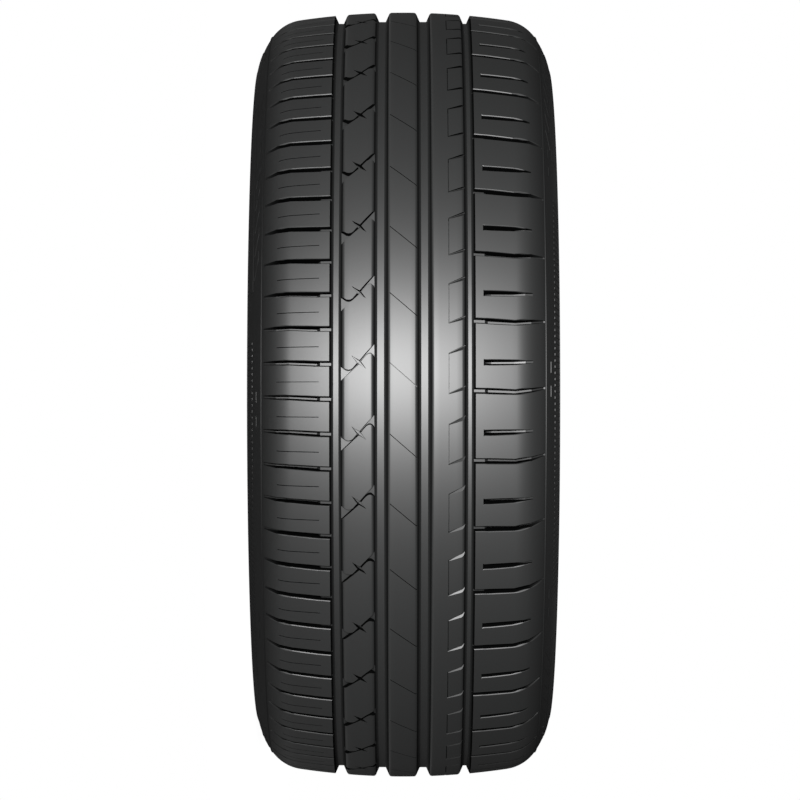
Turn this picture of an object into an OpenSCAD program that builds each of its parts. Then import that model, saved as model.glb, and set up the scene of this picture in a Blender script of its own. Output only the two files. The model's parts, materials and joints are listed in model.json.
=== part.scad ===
/* [Overall] */
// Diameter of the wheel's seat, which the beads grip
rim_d = 462; // [445:0.5:475]
// Height of the section, from the wheel's seat to the middle rib
section_h = 95.6; // [90:0.2:110]
// Width between the two lines that edge the tread
tread_w = 223; // [215:1:235]
// How far each sidewall stands out past the tread's edge
side_bulge = 12.5; // [9:0.5:14]
// How far each bead's face lies inward of the tread's edge
bead_inset = 3.5; // [0:0.5:10]

/* [Crown and sidewall] */
// Radius of the tread's flat arch from side to side
crown_r = 600; // [450:10:1000]
// Width of the rounded shoulder at each side of the tread
shoulder_w = 23.5; // [18:0.5:28]
// Slope of the surface at the tread's edge, in degrees
edge_angle = 55; // [48:1:57]
// Height of the fine line that edges the tread
edge_line_h = 0.6; // [0.3:0.1:1.2]
// Thickness under the middle rib, tread and belts together
crown_t = 16.5; // [14:0.5:20]
// Thickness of the sidewall at its widest
side_t = 8; // [6:0.5:10]
// Height of the fine rings round the sidewall
ring_h = 0.6; // [0.3:0.1:1.2]

/* [Bead] */
// Width of the cylindrical seat under each bead
seat_w = 12; // [8:0.5:13]
// Width of the bead from its face to its toe
bead_w = 20; // [19.5:0.5:24]
// Radius of the bead's heel
heel_r = 6; // [3:0.5:7]
// Thickness of the bead over the wheel's flange
bead_t = 7.7; // [6:0.1:9]
// Radius of the bead's curve round the flange, as a share of the height below the widest place
flange_share = 0.27; // [0.2:0.01:0.28]
// Height of the bead's straight face, as a share of the same height
face_share = 0.27; // [0.2:0.01:0.3]
// Width of the flat land on the rib that guards the wheel, as a share of the same height
guard_share = 0.15; // [0.1:0.01:0.25]

/* [Round grooves] */
// Depth of the two inner grooves that run round the tread
inner_groove_depth = 7.7; // [5:0.1:8.5]
// Depth of the two outer grooves that run round the tread
outer_groove_depth = 7.2; // [5:0.1:8.5]
// Place of groove 1, as a share of the tread's half width from its middle plane
groove_1_share = -0.472; // [-0.484:0.002:-0.458]
// Width of groove 1 between its walls, at the surface
groove_1_w = 10.6; // [8:0.1:12]
// Place of groove 2, as such a share
groove_2_share = -0.16; // [-0.17:0.002:-0.148]
// Width of groove 2
groove_2_w = 12.3; // [9:0.1:13]
// Place of groove 3, as such a share
groove_3_share = 0.147; // [0.14:0.001:0.16]
// Width of groove 3
groove_3_w = 12.3; // [9:0.1:13]
// Place of groove 4, as such a share
groove_4_share = 0.463; // [0.452:0.001:0.475]
// Width of groove 4
groove_4_w = 9.2; // [7:0.1:11]
// Slope of the groove walls from upright, in degrees
groove_draft = 24; // [12:1:26]
// Width of the chamfer on the ribs' edges
chamfer_w = 1.7; // [0.8:0.1:2.2]

/* [Cross pattern] */
// Number of times that the pattern repeats round the tyre
pitches = 37; // [34:1:42]
// Width of the thin cuts in the ribs and blocks
sipe_w = 0.6; // [0.4:0.1:0.9]
// Depth of the thin cuts
sipe_depth = 5; // [3:0.1:6]
// Width of the shoulder grooves at their inner end
shoulder_groove_w = 5.2; // [4:0.1:6]
// Width of the shoulder grooves at the tread's edge
shoulder_groove_end_w = 2.4; // [1.6:0.1:3]
// Depth of the shoulder grooves
shoulder_groove_depth = 6.6; // [5:0.1:6.9]
// Depth over the bridge that ties two blocks together
bridge_depth = 3.4; // [2:0.1:4]
// Length of the bridge, from the round groove's edge
bridge_len = 7; // [4:0.1:10]
// Depth of the curved scoops in rib 2
scoop_depth = 2.2; // [1.2:0.1:3]
// Width of the short cut that crosses the scoops' slanted cut
lens_w = 1.6; // [1:0.1:2.4]
// Width of the notches where they open into groove 4
notch_w = 3.2; // [2:0.1:4]

/* [Hidden] */
$fn = 180;
rubber = [0.09, 0.09, 0.09];
seat_r = rim_d / 2;
R = seat_r + section_h;
pitch = 360 / pitches;
edge_a = tread_w / 2;
widest_a = edge_a + side_bulge;
face_a = edge_a - bead_inset;
toe_a = face_a - bead_w;
// How far a cutting shape stands proud of the surface that it cuts
proud = 1.5;
// The same for a groove over the shoulder's curve
lift = 0.2 * shoulder_w;
// Width of the small slope along the bottom of a groove's wall
groove_foot = 0.8;
// Number of straight lines that follow each arc of the section to within 0.2 mm
crown_lines = 3;
shoulder_lines = 4;
side_lines = 5;
air_lines = 8;
bead_lines = 5;

// A place in the section is [distance from the middle plane, distance from the axle]
function polar(c, r, angle) = [c[0] + r * sin(angle), c[1] + r * cos(angle)];
function arc(c, r, from, to, lines) =
    [for (i = [0:lines]) polar(c, r, from + (to - from) * i / lines)];
// The sketch for a revolved shape has the axle distance first
function turned(points) = [for (p = points) [p[1], p[0]]];

// The outside of the section is three arcs, each tangent to the next
shoulder_at = edge_a - shoulder_w;
crown_c = [0, R - crown_r];
crown_angle = asin(shoulder_at / crown_r);
shoulder_r = shoulder_w / (sin(edge_angle) - sin(crown_angle));
shoulder_c = polar(crown_c, crown_r - shoulder_r, crown_angle);
side_r = side_bulge / (1 - sin(edge_angle));
side_c = polar(shoulder_c, shoulder_r - side_r, edge_angle);

// The lower sidewall and the bead share the height that is left below the widest place
below_h = side_c[1] - seat_r;
flange_r = flange_share * below_h;
face_h = face_share * below_h;
guard_w = guard_share * below_h;
flange_c = [face_a + flange_r, seat_r + face_h];
heel_c = [face_a - heel_r, seat_r + heel_r];
// Rise of the toe above the seat
toe_rise = 1.5;

// The air side is two arcs, tangent to each other
air_crown_r = crown_r - crown_t;
air_a = widest_a - side_t;
air_rise = side_c[1] - crown_c[1];
air_r = (air_crown_r * air_crown_r - air_a * air_a - air_rise * air_rise)
    / (2 * (air_crown_r - air_a));
air_c = [air_a - air_r, side_c[1]];
air_angle = asin(air_c[0] / (air_crown_r - air_r));
// Turn from the sidewall's inside towards the bead
apex_r = flange_r;
apex_angle = 135;
apex_c = [air_a - apex_r, side_c[1]];

// Distance from the axle to the tread's surface, at a distance from the middle plane
function surface_r(a) =
    abs(a) < shoulder_at
    ? crown_c[1] + sqrt(crown_r * crown_r - a * a)
    : shoulder_c[1] + sqrt(shoulder_r * shoulder_r - pow(abs(a) - shoulder_c[0], 2));
// Distance round the tread for a share of the pitch
function along(share) = share * pitch * PI / 180 * R;
// Place between two others
function between(low, high, share) = low + share * (high - low);

// Tyre section

// A fine ring that stands up from an arc of the section
module ring_sketch(c, r, angle, w, h) {
    p = polar(c, r, angle);
    translate([p[1], p[0]]) rotate([0, 0, angle]) square([2 * h, w], center = true);
}

// Straight parts of the half section: the crown, the rim guard and the bead
module half_body() {
    guard_r = side_c[1] - guard_w;
    guard_foot = polar(flange_c, flange_r + toe_rise, 20);
    seat_end = face_a - heel_r - seat_w;
    polygon(turned(concat(
        [[0, side_c[1]]],
        [for (i = [0:crown_lines - 1]) polar(crown_c, crown_r, crown_angle * i / crown_lines)],
        arc(shoulder_c, shoulder_r, crown_angle, edge_angle, shoulder_lines),
        arc(side_c, side_r, edge_angle, 90, side_lines),
        [[widest_a, guard_r], guard_foot],
        arc(flange_c, flange_r, -15, -90, bead_lines),
        arc(heel_c, heel_r, 90, 180, bead_lines),
        [[seat_end, seat_r], [toe_a, seat_r + toe_rise], [toe_a, side_c[1]]]
    )));
}

// The air side of the half section
module half_air() {
    toe_edge = bead_t / 2;
    toe_r = seat_r + toe_rise;
    polygon(turned(concat(
        [[-1, 0], [-1, air_crown_r + crown_c[1]]],
        [for (i = [0:crown_lines - 1]) polar(crown_c, air_crown_r, air_angle * i / crown_lines)],
        arc(air_c, air_r, air_angle, 90, air_lines),
        [for (i = [1:4]) polar(apex_c, apex_r, 90 + (apex_angle - 90) * i / 4)],
        [polar(flange_c, flange_r + bead_t, apex_angle - 180)],
        [[toe_a + toe_edge, toe_r + 2 * toe_edge], [toe_a, toe_r + 1], [toe_a, 0]]
    )));
}

// Half of the section, from the middle plane to one bead
module half_section() {
    upper_ring = edge_angle + 7;
    lower_ring = 80;
    difference() {
        union() {
            half_body();
            ring_sketch(shoulder_c, shoulder_r, edge_angle, 2 * edge_line_h, edge_line_h);
            ring_sketch(side_c, side_r, upper_ring, 2 * ring_h, ring_h);
            ring_sketch(side_c, side_r, lower_ring, 2 * ring_h, ring_h);
        }
        half_air();
    }
}

// Sketch of one groove that runs round the tread, with a chamfer on the sides asked for
module groove_sketch(at, w, depth, chamfer_low, chamfer_high) {
    top = surface_r(at) + proud;
    low = at - w / 2;
    high = at + w / 2;
    floor_r = surface_r(at) - depth;
    foot_r = floor_r + groove_foot;
    slope = tan(groove_draft);
    low_r = surface_r(low);
    high_r = surface_r(high);
    low_foot = low + (low_r - foot_r) * slope;
    high_foot = high - (high_r - foot_r) * slope;
    polygon(turned([
        [low - chamfer_low - proud, top],
        [low - chamfer_low, surface_r(low - chamfer_low)],
        [low + chamfer_low * slope, low_r - chamfer_low],
        [low_foot, foot_r],
        [low_foot + groove_foot, floor_r],
        [high_foot - groove_foot, floor_r],
        [high_foot, foot_r],
        [high - chamfer_high * slope, high_r - chamfer_high],
        [high + chamfer_high, surface_r(high + chamfer_high)],
        [high + chamfer_high + proud, top]
    ]));
}

groove_1_at = groove_1_share * edge_a;
groove_2_at = groove_2_share * edge_a;
groove_3_at = groove_3_share * edge_a;
groove_4_at = groove_4_share * edge_a;
groove_1_low = groove_1_at - groove_1_w / 2;
groove_1_high = groove_1_at + groove_1_w / 2;
groove_2_low = groove_2_at - groove_2_w / 2;
groove_4_low = groove_4_at - groove_4_w / 2;
groove_4_high = groove_4_at + groove_4_w / 2;

// The plain tyre, with its round grooves
module casing() {
    rotate_extrude() difference() {
        union() {
            half_section();
            mirror([0, 1]) half_section();
        }
        groove_sketch(groove_1_at, groove_1_w, outer_groove_depth, 0, chamfer_w);
        groove_sketch(groove_2_at, groove_2_w, inner_groove_depth, chamfer_w, chamfer_w);
        groove_sketch(groove_3_at, groove_3_w, inner_groove_depth, chamfer_w, chamfer_w);
        groove_sketch(groove_4_at, groove_4_w, outer_groove_depth, chamfer_w, 0);
    }
}

// Cross pattern

// Stands a shape on the tread: x runs round the tyre, y across it and z away from the axle
module on_tread(share) {
    rotate([0, 0, pitch * share]) rotate([90, 0, 0]) children();
}

// A groove across the tread, lofted through stations of
// [distance from the middle plane, share of the pitch, width at the surface, width of the floor, depth]
module cross_groove(stations) {
    last = 4 * (len(stations) - 1);
    mid = stations[0][1];
    ring = [for (s = stations) let (
        x = along(s[1] - mid),
        r = surface_r(s[0]),
        half_floor = s[3] / 2,
        half_top = half_floor + (s[2] - s[3]) / 2 * (s[4] + lift) / s[4]
    ) each [
        [x - half_top, s[0], r + lift],
        [x - half_floor, s[0], r - s[4]],
        [x + half_floor, s[0], r - s[4]],
        [x + half_top, s[0], r + lift]
    ]];
    faces = [for (a = [0:4:last - 4]) each [
        [a, a + 1, a + 5],
        [a, a + 5, a + 4],
        [a + 1, a + 2, a + 6, a + 5],
        [a + 2, a + 3, a + 7],
        [a + 2, a + 7, a + 6],
        [a + 3, a, a + 4, a + 7]
    ]];
    closed = concat(faces, [[3, 2, 1, 0], [last, last + 1, last + 2, last + 3]]);
    outward = stations[len(stations) - 1][0] > stations[0][0];
    on_tread(mid) polyhedron(ring, outward ? closed : [for (f = closed) [for (k = [len(f) - 1:-1:0]) f[k]]]);
}

// A thin cut between two places of [distance from the middle plane, share of the pitch]
module sipe(from, to) {
    mid = (from[1] + to[1]) / 2;
    run = [along(to[1] - from[1]), to[0] - from[0]];
    rise = surface_r(to[0]) - surface_r(from[0]);
    low_r = (surface_r(from[0]) + surface_r(to[0])) / 2 - sipe_depth;
    on_tread(mid) translate([0, (from[0] + to[0]) / 2, low_r])
        rotate([0, -atan2(rise, norm(run)), atan2(run[1], run[0])])
        translate([-norm(run) / 2, -sipe_w / 2, 0])
        cube([norm(run), sipe_w, sipe_depth + 2 * proud]);
}

// A pocket whose outline is a list of places of [distance from the middle plane, share of the pitch]
module pocket(places, depth) {
    mid = places[0][1];
    on_tread(mid) translate([0, 0, surface_r(places[0][0]) - depth])
        linear_extrude(height = depth + proud)
        polygon([for (p = places) [along(p[1] - mid), p[0]]]);
}

// Shoulder groove of the low side, from groove 1 to the tread's edge
module low_shoulder_groove(share) {
    w = shoulder_groove_w;
    end_w = shoulder_groove_end_w;
    deep = shoulder_groove_depth;
    floor_w = 0.34 * w;
    bridge_end = groove_1_low - bridge_len;
    cross_groove([
        [groove_1_at - 1, share + 0.022, w, 1.2 * floor_w, bridge_depth],
        [bridge_end, share + 0.019, w, 1.2 * floor_w, bridge_depth],
        [bridge_end - 2.5, share + 0.018, w, floor_w, deep],
        [-shoulder_at - 1, share, 0.88 * w, floor_w, 0.94 * deep],
        [-(edge_a - 2), share - 0.004, end_w, 0.5 * end_w, 0.2 * deep]
    ]);
}

// Shoulder groove of the high side, from groove 4 to the tread's edge
module high_shoulder_groove(share) {
    w = 1.06 * shoulder_groove_w;
    end_w = 0.83 * shoulder_groove_end_w;
    deep = shoulder_groove_depth;
    floor_w = 0.3 * w;
    bridge_end = groove_4_high + bridge_len;
    cross_groove([
        [groove_4_at + 1, share - 0.02, w, 1.2 * floor_w, bridge_depth],
        [bridge_end, share - 0.016, w, 1.2 * floor_w, bridge_depth],
        [bridge_end + 2.5, share - 0.014, w, floor_w, deep],
        [shoulder_at - 1, share, 0.88 * w, floor_w, 0.94 * deep],
        [(shoulder_at + edge_a) / 2, share - 0.026, (w + end_w) / 2, 0.7 * floor_w, 0.6 * deep],
        [edge_a - 2, share - 0.057, end_w, 0.5 * end_w, 0.18 * deep]
    ]);
}

// Closed slot of the high side, between two shoulder grooves
module closed_slot(share) {
    w = 1.06 * shoulder_groove_w;
    deep = shoulder_groove_depth;
    floor_w = 0.27 * w;
    end_w = 0.42 * w;
    start = groove_4_high + 0.86 * bridge_len;
    cross_groove([
        [start, share, w, floor_w, deep],
        [shoulder_at - 2, share - 0.004, 0.9 * w, floor_w, 0.8 * deep],
        [edge_a - 10.5, share - 0.016, end_w, 0.6 * end_w, 0.14 * deep]
    ]);
}

// The slanted cut of rib 2, which widens into a scoop at each end
module scooped_cut() {
    low = groove_1_high;
    high = groove_2_low;
    // Shares of the rib's width and of the pitch
    outline = [
        [-0.09, -0.420], [0.09, -0.377], [0.21, -0.367], [0.32, -0.391], [0.73, -0.557],
        [1.09, -0.735], [1.09, -0.490], [1.01, -0.550], [0.89, -0.563], [0.76, -0.531],
        [0.51, -0.422], [-0.09, -0.185]
    ];
    pocket([for (p = outline) [between(low, high, p[0]), p[1]]], scoop_depth);
    sipe([between(low, high, -0.09), -0.182], [between(low, high, 1.09), -0.741]);
    lens_share = lens_w / 2 / along(1);
    lens_a = [between(low, high, 0.305), between(low, high, 0.76)];
    lens_mid = (lens_a[0] + lens_a[1]) / 2;
    pocket([[lens_a[0], -0.55], [lens_mid + lens_w / 3, -0.46 - lens_share], [lens_a[1], -0.37],
        [lens_mid - lens_w / 3, -0.46 + lens_share]], sipe_depth);
}

// The flap of rib 4: a fine cut along the rib and two notches that open into groove 4
module flap_cut() {
    cut_at = groove_4_low - 11.7;
    thin = 0.8 * sipe_w;
    open_at = groove_4_low + 2;
    sipe([cut_at, -0.578], [cut_at, -0.012]);
    cross_groove([
        [cut_at, -0.578, 2 * thin, thin, sipe_depth / 2],
        [open_at, -0.68, 1.1 * notch_w, thin, sipe_depth]
    ]);
    cross_groove([
        [cut_at, -0.012, 2 * thin, thin, sipe_depth / 2],
        [open_at, -0.102, 0.9 * notch_w, thin, sipe_depth]
    ]);
}

module pitch_cuts() {
    for (half = [0, 0.5]) {
        low_shoulder_groove(0.043 + half);
        sipe([-0.592 * edge_a, -0.18 + half], [-0.888 * edge_a, -0.18 + half]);
    }
    sipe([groove_2_at, -0.449], [groove_3_at, -0.113]);
    high_shoulder_groove(-0.036);
    closed_slot(-0.458);
    scooped_cut();
    flap_cut();
}

module cross_pattern() {
    for (i = [0:pitches - 1]) rotate([0, 0, i * pitch]) pitch_cuts();
}

module tyre() {
    color(rubber) difference() {
        casing();
        cross_pattern();
    }
}

tyre();
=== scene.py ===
# %% [markdown]
# A low-profile car tyre, seen square on to its tread.
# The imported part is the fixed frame: it gives the size, the place and the one body that the tyre rides on.
# The tyre's sizes are in millimetres, as its maker would write them, and turn into metres when its mesh is
# made. The camera, the lamps and the floor are placed in metres.

# %% Frame
import json
import math

import bpy
import numpy as np
from mathutils import Matrix, Vector

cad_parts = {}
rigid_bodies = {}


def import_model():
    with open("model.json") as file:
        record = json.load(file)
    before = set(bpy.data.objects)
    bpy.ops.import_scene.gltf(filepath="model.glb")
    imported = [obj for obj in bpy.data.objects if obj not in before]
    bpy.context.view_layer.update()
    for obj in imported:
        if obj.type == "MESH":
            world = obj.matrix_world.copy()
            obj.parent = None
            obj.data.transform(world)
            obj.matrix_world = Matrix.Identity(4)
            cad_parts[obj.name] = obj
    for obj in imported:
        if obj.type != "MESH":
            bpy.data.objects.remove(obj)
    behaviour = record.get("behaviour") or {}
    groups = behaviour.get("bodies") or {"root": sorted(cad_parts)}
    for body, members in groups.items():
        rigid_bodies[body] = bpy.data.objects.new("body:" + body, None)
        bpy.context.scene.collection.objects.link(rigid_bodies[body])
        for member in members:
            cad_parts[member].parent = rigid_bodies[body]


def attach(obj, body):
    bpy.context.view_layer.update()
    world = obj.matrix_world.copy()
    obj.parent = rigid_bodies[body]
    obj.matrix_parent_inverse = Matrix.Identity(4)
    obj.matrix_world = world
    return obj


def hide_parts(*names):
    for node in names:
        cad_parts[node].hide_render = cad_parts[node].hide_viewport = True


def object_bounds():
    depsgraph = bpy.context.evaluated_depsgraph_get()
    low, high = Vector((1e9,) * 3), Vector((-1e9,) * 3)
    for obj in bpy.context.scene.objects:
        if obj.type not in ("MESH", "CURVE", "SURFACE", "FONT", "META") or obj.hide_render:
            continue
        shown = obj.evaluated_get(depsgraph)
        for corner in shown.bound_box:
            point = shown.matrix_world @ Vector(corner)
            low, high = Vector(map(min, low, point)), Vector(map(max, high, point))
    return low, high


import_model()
cad_low, cad_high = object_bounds()
print("CAD box in mm:", [round(1000 * (h - l), 1) for l, h in zip(cad_low, cad_high)])

MM = 0.001

# %% [markdown]
# The section of a tyre is drawn by its mould. The tread is a flat arch, the shoulder a tight arc and
# the sidewall a wide arc, and each is tangent to the next, so that light runs over them with no crease.
# The curve could be traced with many points, but then a new width would mean a new trace. Working the arcs
# out from the widths keeps them tangent whatever the sizes are.
# The section width comes from the frame, so that the visible tyre fits the part.
# In the names, _R is a radius, _A a distance from the middle plane, _W a width, _T a thickness, _H a height
# and _C a centre.

# %% Section sizes
OUTER_R = 326.6
HALF_WIDTH = 1000 * (cad_high[2] - cad_low[2]) / 2
SIDE_BULGE = 12.5
EDGE_A = HALF_WIDTH - SIDE_BULGE
CROWN_R = 600.0
SHOULDER_W = 23.5
EDGE_ANGLE = math.radians(55)
CROWN_T = 16.5
SIDE_T = 8.0
SEAT_R = 231.0
FACE_A = EDGE_A - 3.5
SEAT_W = 12.0
BEAD_W = 20.0
BEAD_T = 7.7
TOE_RISE = 1.5
HEEL_R = 6.0
FLANGE_SHARE = 0.27
GUARD_SHARE = 0.15

PITCHES = 37
PITCH = 2 * math.pi / PITCHES
print("section:", round(2 * HALF_WIDTH, 1), "mm wide, pitch:", round(PITCH * OUTER_R, 1), "mm long")

# %% [markdown]
# The arcs of the crown, the shoulder and the sidewall meet with the same direction. So each centre lies on
# the line through its neighbour's centre and the place where the two arcs meet.

# %% Arcs of the section
def polar(centre, radius, angle):
    """A place in the section, as (distance from the middle plane, distance from the axle)."""
    return (centre[0] + radius * math.sin(angle), centre[1] + radius * math.cos(angle))


def arc(centre, radius, start, end, lines):
    """Places along an arc of the section, both ends included."""
    return [polar(centre, radius, start + (end - start) * i / lines) for i in range(lines + 1)]


SHOULDER_AT = EDGE_A - SHOULDER_W
CROWN_C = (0.0, OUTER_R - CROWN_R)
CROWN_ANGLE = math.asin(SHOULDER_AT / CROWN_R)
SHOULDER_R = SHOULDER_W / (math.sin(EDGE_ANGLE) - math.sin(CROWN_ANGLE))
SHOULDER_C = polar(CROWN_C, CROWN_R - SHOULDER_R, CROWN_ANGLE)
SIDE_R = SIDE_BULGE / (1 - math.sin(EDGE_ANGLE))
SIDE_C = polar(SHOULDER_C, SHOULDER_R - SIDE_R, EDGE_ANGLE)
BELOW_H = SIDE_C[1] - SEAT_R
FLANGE_R = FLANGE_SHARE * BELOW_H
FACE_H = FLANGE_SHARE * BELOW_H
GUARD_W = GUARD_SHARE * BELOW_H
FLANGE_C = (FACE_A + FLANGE_R, SEAT_R + FACE_H)
print(f"shoulder arc {SHOULDER_R:.1f} mm, sidewall arc {SIDE_R:.1f} mm")


def surface_r(a):
    """Distance from the axle to the tread's surface, at a distance from the middle plane."""
    a = abs(a)
    if a < SHOULDER_AT:
        return CROWN_C[1] + math.sqrt(CROWN_R**2 - a * a)
    return SHOULDER_C[1] + math.sqrt(SHOULDER_R**2 - (a - SHOULDER_C[0]) ** 2)


# %% [markdown]
# Four round grooves drain water. Their walls lean outward so that the mould lets go of the rubber,
# and all their edges but those of the two shoulders have a soft chamfer.
# They could be cut out of a plain ring. Here each is a short run of lines in the section, so its edges stay
# crisp when it is turned, and no boolean has to follow them round the tyre.

# %% Round grooves
INNER_DEPTH = 7.7
OUTER_DEPTH = 7.2
CHAMFER = 1.7
GROOVE_1 = dict(at=-0.472 * EDGE_A, w=10.6, depth=OUTER_DEPTH, low_chamfer=0.0, high_chamfer=CHAMFER)
GROOVE_2 = dict(at=-0.16 * EDGE_A, w=12.3, depth=INNER_DEPTH, low_chamfer=CHAMFER, high_chamfer=CHAMFER)
GROOVE_3 = dict(at=0.147 * EDGE_A, w=12.3, depth=INNER_DEPTH, low_chamfer=CHAMFER, high_chamfer=CHAMFER)
GROOVE_4 = dict(at=0.463 * EDGE_A, w=9.2, depth=OUTER_DEPTH, low_chamfer=CHAMFER, high_chamfer=0.0)
GROOVES = (GROOVE_1, GROOVE_2, GROOVE_3, GROOVE_4)
GROOVE_SLOPE = math.tan(math.radians(24))
GROOVE_FOOT = 0.2


def groove_low(g):
    """Where a groove starts, across the tread."""
    return g["at"] - g["w"] / 2


def groove_high(g):
    """Where a groove ends, across the tread."""
    return g["at"] + g["w"] / 2


print("round grooves at", [round(g["at"], 1) for g in GROOVES])

# %% [markdown]
# A groove goes into the section as two edges with a floor between them, and the straight stretches from
# edge to floor are its walls. A moulded edge is never quite sharp, so a soft one is a short curve.

# %% One round groove
def rounded(start, corner, end, lines=4):
    """Places along a soft turn from start to end, drawn towards the corner."""
    if start == end:
        return [start]
    p, q, r = map(np.array, (start, corner, end))
    shares = np.linspace(0, 1, lines + 1)
    return [tuple((1 - t) ** 2 * p + 2 * t * (1 - t) * q + t * t * r) for t in shares]


def groove_line(g):
    """One groove in the section, from the rib on its low side to the rib on its high side."""
    low, high = groove_low(g), groove_high(g)
    floor_r = surface_r(g["at"]) - g["depth"]
    foot_r = floor_r + GROOVE_FOOT
    low_foot = low + (surface_r(low) - foot_r) * GROOVE_SLOPE
    high_foot = high - (surface_r(high) - foot_r) * GROOVE_SLOPE
    c_low, c_high = g["low_chamfer"], g["high_chamfer"]
    low_edge = rounded((low - c_low, surface_r(low - c_low)), (low, surface_r(low)),
                       (low + c_low * GROOVE_SLOPE, surface_r(low) - c_low))
    high_edge = rounded((high - c_high * GROOVE_SLOPE, surface_r(high) - c_high), (high, surface_r(high)),
                        (high + c_high, surface_r(high + c_high)))
    floor = [
        (low_foot, foot_r),
        (low_foot + GROOVE_FOOT, floor_r),
        (high_foot - GROOVE_FOOT, floor_r),
        (high_foot, foot_r),
    ]
    return low_edge + floor + high_edge


print("points in a groove:", len(groove_line(GROOVE_2)))

# %% [markdown]
# The section is one closed line: over the tread, down one sidewall to its bead, back through the air side
# and up the other sidewall. It starts with the tread, where the grooves hang between stretches of the crown.

# %% Tread line
CROWN_STEP = 4.0


def tread_line():
    """The tread's section from one shoulder to the other, with its grooves."""
    line, at = [], -SHOULDER_AT
    for g in GROOVES:
        groove = groove_line(g)
        steps = max(1, round((groove[0][0] - at) / CROWN_STEP))
        line += [(a, surface_r(a)) for a in np.linspace(at, groove[0][0], steps + 1)[:-1]]
        line += groove[:-1]
        at = groove[-1][0]
    steps = round((SHOULDER_AT - at) / CROWN_STEP)
    return line + [(a, surface_r(a)) for a in np.linspace(at, SHOULDER_AT, steps + 1)]


print("points over the tread:", len(tread_line()))

# %% [markdown]
# A mould is made of parts, and fine rings stand on the rubber where they meet: one at the tread's edge and
# one above the rim guard. Below it the bead hooks in under the rim's flange and sits on the rim's seat.

# %% Sidewall and bead line
RING_H = 0.6
EDGE_LINE_W = 1.2
RING_W = 1.0
RING_TOP = 0.6
RING_CLEAR = 1.6
GUARD_ANGLE = math.radians(80)


def ringed_arc(centre, radius, start, end, lines, rings):
    """An arc with fine raised rings. Each ring is (angle, width, height)."""
    marks = [(start + (end - start) * i / lines, 0.0) for i in range(lines + 1)]
    for angle, width, height in rings:
        half = width / 2 / radius
        marks = [m for m in marks if abs(m[0] - angle) > RING_CLEAR * half]
        marks += [(angle - half, 0.0), (angle - RING_TOP * half, height)]
        marks += [(angle + RING_TOP * half, height), (angle + half, 0.0)]
    return [polar(centre, radius + rise, angle) for angle, rise in sorted(marks)]


def wall_line():
    """The outside of the high half, from the tread's shoulder to the bead's toe."""
    half = EDGE_LINE_W / 2
    half_top = RING_TOP * half
    shoulder = arc(SHOULDER_C, SHOULDER_R, CROWN_ANGLE, EDGE_ANGLE - 3 * half / SHOULDER_R, 12)[1:]
    edge = [polar(SHOULDER_C, SHOULDER_R, EDGE_ANGLE - half / SHOULDER_R),
            polar(SHOULDER_C, SHOULDER_R + RING_H, EDGE_ANGLE - half_top / SHOULDER_R),
            polar(SIDE_C, SIDE_R + RING_H, EDGE_ANGLE + half_top / SIDE_R)]
    side_start = EDGE_ANGLE + half / SIDE_R
    side = ringed_arc(SIDE_C, SIDE_R, side_start, math.pi / 2, 16, [(GUARD_ANGLE, RING_W, RING_H)])
    heel_c = (FACE_A - HEEL_R, SEAT_R + HEEL_R)
    bead = [(HALF_WIDTH, SIDE_C[1] - GUARD_W), polar(FLANGE_C, FLANGE_R + TOE_RISE, math.radians(20))]
    bead += arc(FLANGE_C, FLANGE_R, math.radians(-15), math.radians(-90), 8)
    bead += arc(heel_c, HEEL_R, math.radians(90), math.radians(180), 8)
    bead += [(FACE_A - HEEL_R - SEAT_W, SEAT_R), (FACE_A - BEAD_W, SEAT_R + TOE_RISE)]
    return shoulder + edge + side + bead


print("points down one side:", len(wall_line()))

# %% [markdown]
# Nothing of the air side shows from the front, but it does from above. Its lines follow the outside at the
# thickness that such tyres have: thick under the tread, thin in the sidewall, and thick again at the bead.

# %% Air side line
def air_line():
    """The inside of the high half, from the bead's toe to the middle plane."""
    air_crown_r = CROWN_R - CROWN_T
    air_a = HALF_WIDTH - SIDE_T
    rise = SIDE_C[1] - CROWN_C[1]
    air_r = (air_crown_r**2 - air_a**2 - rise**2) / (2 * (air_crown_r - air_a))
    air_c = (air_a - air_r, SIDE_C[1])
    air_angle = math.asin(air_c[0] / (air_crown_r - air_r))
    apex_c = (air_a - FLANGE_R, SIDE_C[1])
    toe = (FACE_A - BEAD_W, SEAT_R + TOE_RISE)
    line = [(toe[0], toe[1] + 1), (toe[0] + BEAD_T / 2, toe[1] + BEAD_T)]
    line += [polar(FLANGE_C, FLANGE_R + BEAD_T, math.radians(-45))]
    line += arc(apex_c, FLANGE_R, math.radians(135), math.radians(90), 6)
    line += arc(air_c, air_r, math.pi / 2, air_angle, 16)[1:]
    return line + arc(CROWN_C, air_crown_r, air_angle, 0, 5)[1:]


def mirrored(line):
    """The same line on the other side of the middle plane."""
    return [(-a, r) for a, r in reversed(line)]


high_half = wall_line() + air_line()
section = np.array(tread_line() + high_half + mirrored(high_half)[1:])
print("section points:", len(section))

# %% [markdown]
# The cross pattern repeats 37 times round the tyre, so only one pitch of it is cut.
# A pitch is a wedge of the tyre, which starts where no cut crosses its end.
# Its cutting shapes are lofts and flat pockets, laid out in the mould maker's own terms:
# a distance from the middle plane and a share of the pitch. A displacement map could press the pattern
# in, but it would blur the steep walls that give a tread its hard dark lines.

# %% Places on the tread
WEDGE_START = -0.8
WEDGE_STEPS = 6
PROUD = 1.5


def turned(points, angle):
    """Rows of (along the tread, off the middle plane, height from the axle), stood at an angle."""
    x, a, r = np.asarray(points, float).T
    c, s = math.cos(angle), math.sin(angle)
    return np.column_stack([x * c + r * s, x * s - r * c, a])


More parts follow.
